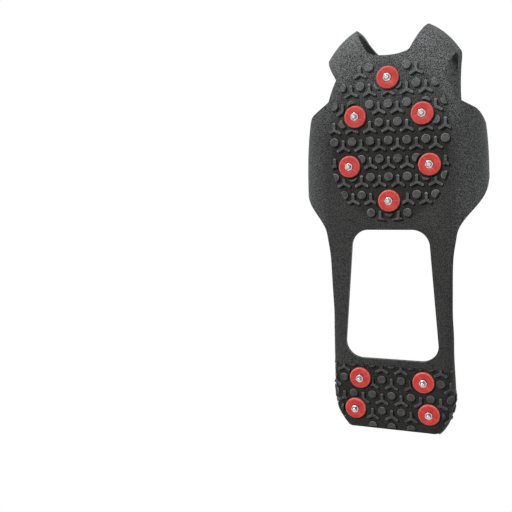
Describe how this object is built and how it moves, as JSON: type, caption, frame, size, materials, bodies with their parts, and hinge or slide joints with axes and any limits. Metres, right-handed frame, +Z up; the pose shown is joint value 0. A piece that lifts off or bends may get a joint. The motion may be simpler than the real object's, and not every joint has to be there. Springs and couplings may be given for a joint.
{
  "type": "ice cleat",
  "caption": "Pull-over ice cleat: a stretch rubber harness with a toe cradle, open arch and heel strap, whose lugged pads carry red-collared steel studs that grip ice.",
  "frame": {"origin": "on the ground under the stud tips, at the middle of the footprint", "axes": "+Z up from the sole into the boot, +Y to the toe, +X to the wearer's right"},
  "size_m": [0.1262, 0.2902, 0.0784],
  "materials": {
    "rubber": "matte, fine pebble grain",
    "red_polymer": "satin moulded",
    "stud_steel": "bright plated",
    "stud_carbide": "ground"
  },
  "bodies": {
    "forefoot": {"forefoot_pad": "rubber", "wing_left": "rubber", "wing_right": "rubber", "toe_strap_left": "rubber", "toe_strap_right": "rubber", "vamp_band": "rubber", "side_rail_left": "rubber", "side_rail_right": "rubber", "forefoot_collar_1": "red_polymer", "forefoot_sleeve_1": "stud_steel", "forefoot_pin_1": "stud_carbide", "forefoot_collar_2": "red_polymer", "forefoot_sleeve_2": "stud_steel", "forefoot_pin_2": "stud_carbide", "forefoot_collar_3": "red_polymer", "forefoot_sleeve_3": "stud_steel", "forefoot_pin_3": "stud_carbide", "forefoot_collar_4": "red_polymer", "forefoot_sleeve_4": "stud_steel", "forefoot_pin_4": "stud_carbide", "forefoot_collar_5": "red_polymer", "forefoot_sleeve_5": "stud_steel", "forefoot_pin_5": "stud_carbide", "forefoot_collar_6": "red_polymer", "forefoot_sleeve_6": "stud_steel", "forefoot_pin_6": "stud_carbide"},
    "heel": {"heel_pad": "rubber", "heel_wall_left": "rubber", "heel_wall_right": "rubber", "heel_strap": "rubber", "heel_collar_1": "red_polymer", "heel_sleeve_1": "stud_steel", "heel_pin_1": "stud_carbide", "heel_collar_2": "red_polymer", "heel_sleeve_2": "stud_steel", "heel_pin_2": "stud_carbide", "heel_collar_3": "red_polymer", "heel_sleeve_3": "stud_steel", "heel_pin_3": "stud_carbide", "heel_collar_4": "red_polymer", "heel_sleeve_4": "stud_steel", "heel_pin_4": "stud_carbide"}
  },
  "joints": [
    {"name": "arch_flex", "type": "hinge", "parent": "forefoot", "child": "heel", "pos_m": [0, -0.039, 0.0078], "axis": [-1, 0, 0], "range_deg": [0, 75], "stiffness_Nm_per_rad": 0.6, "deforming": ["side_rail_left", "side_rail_right"]}
  ]
}
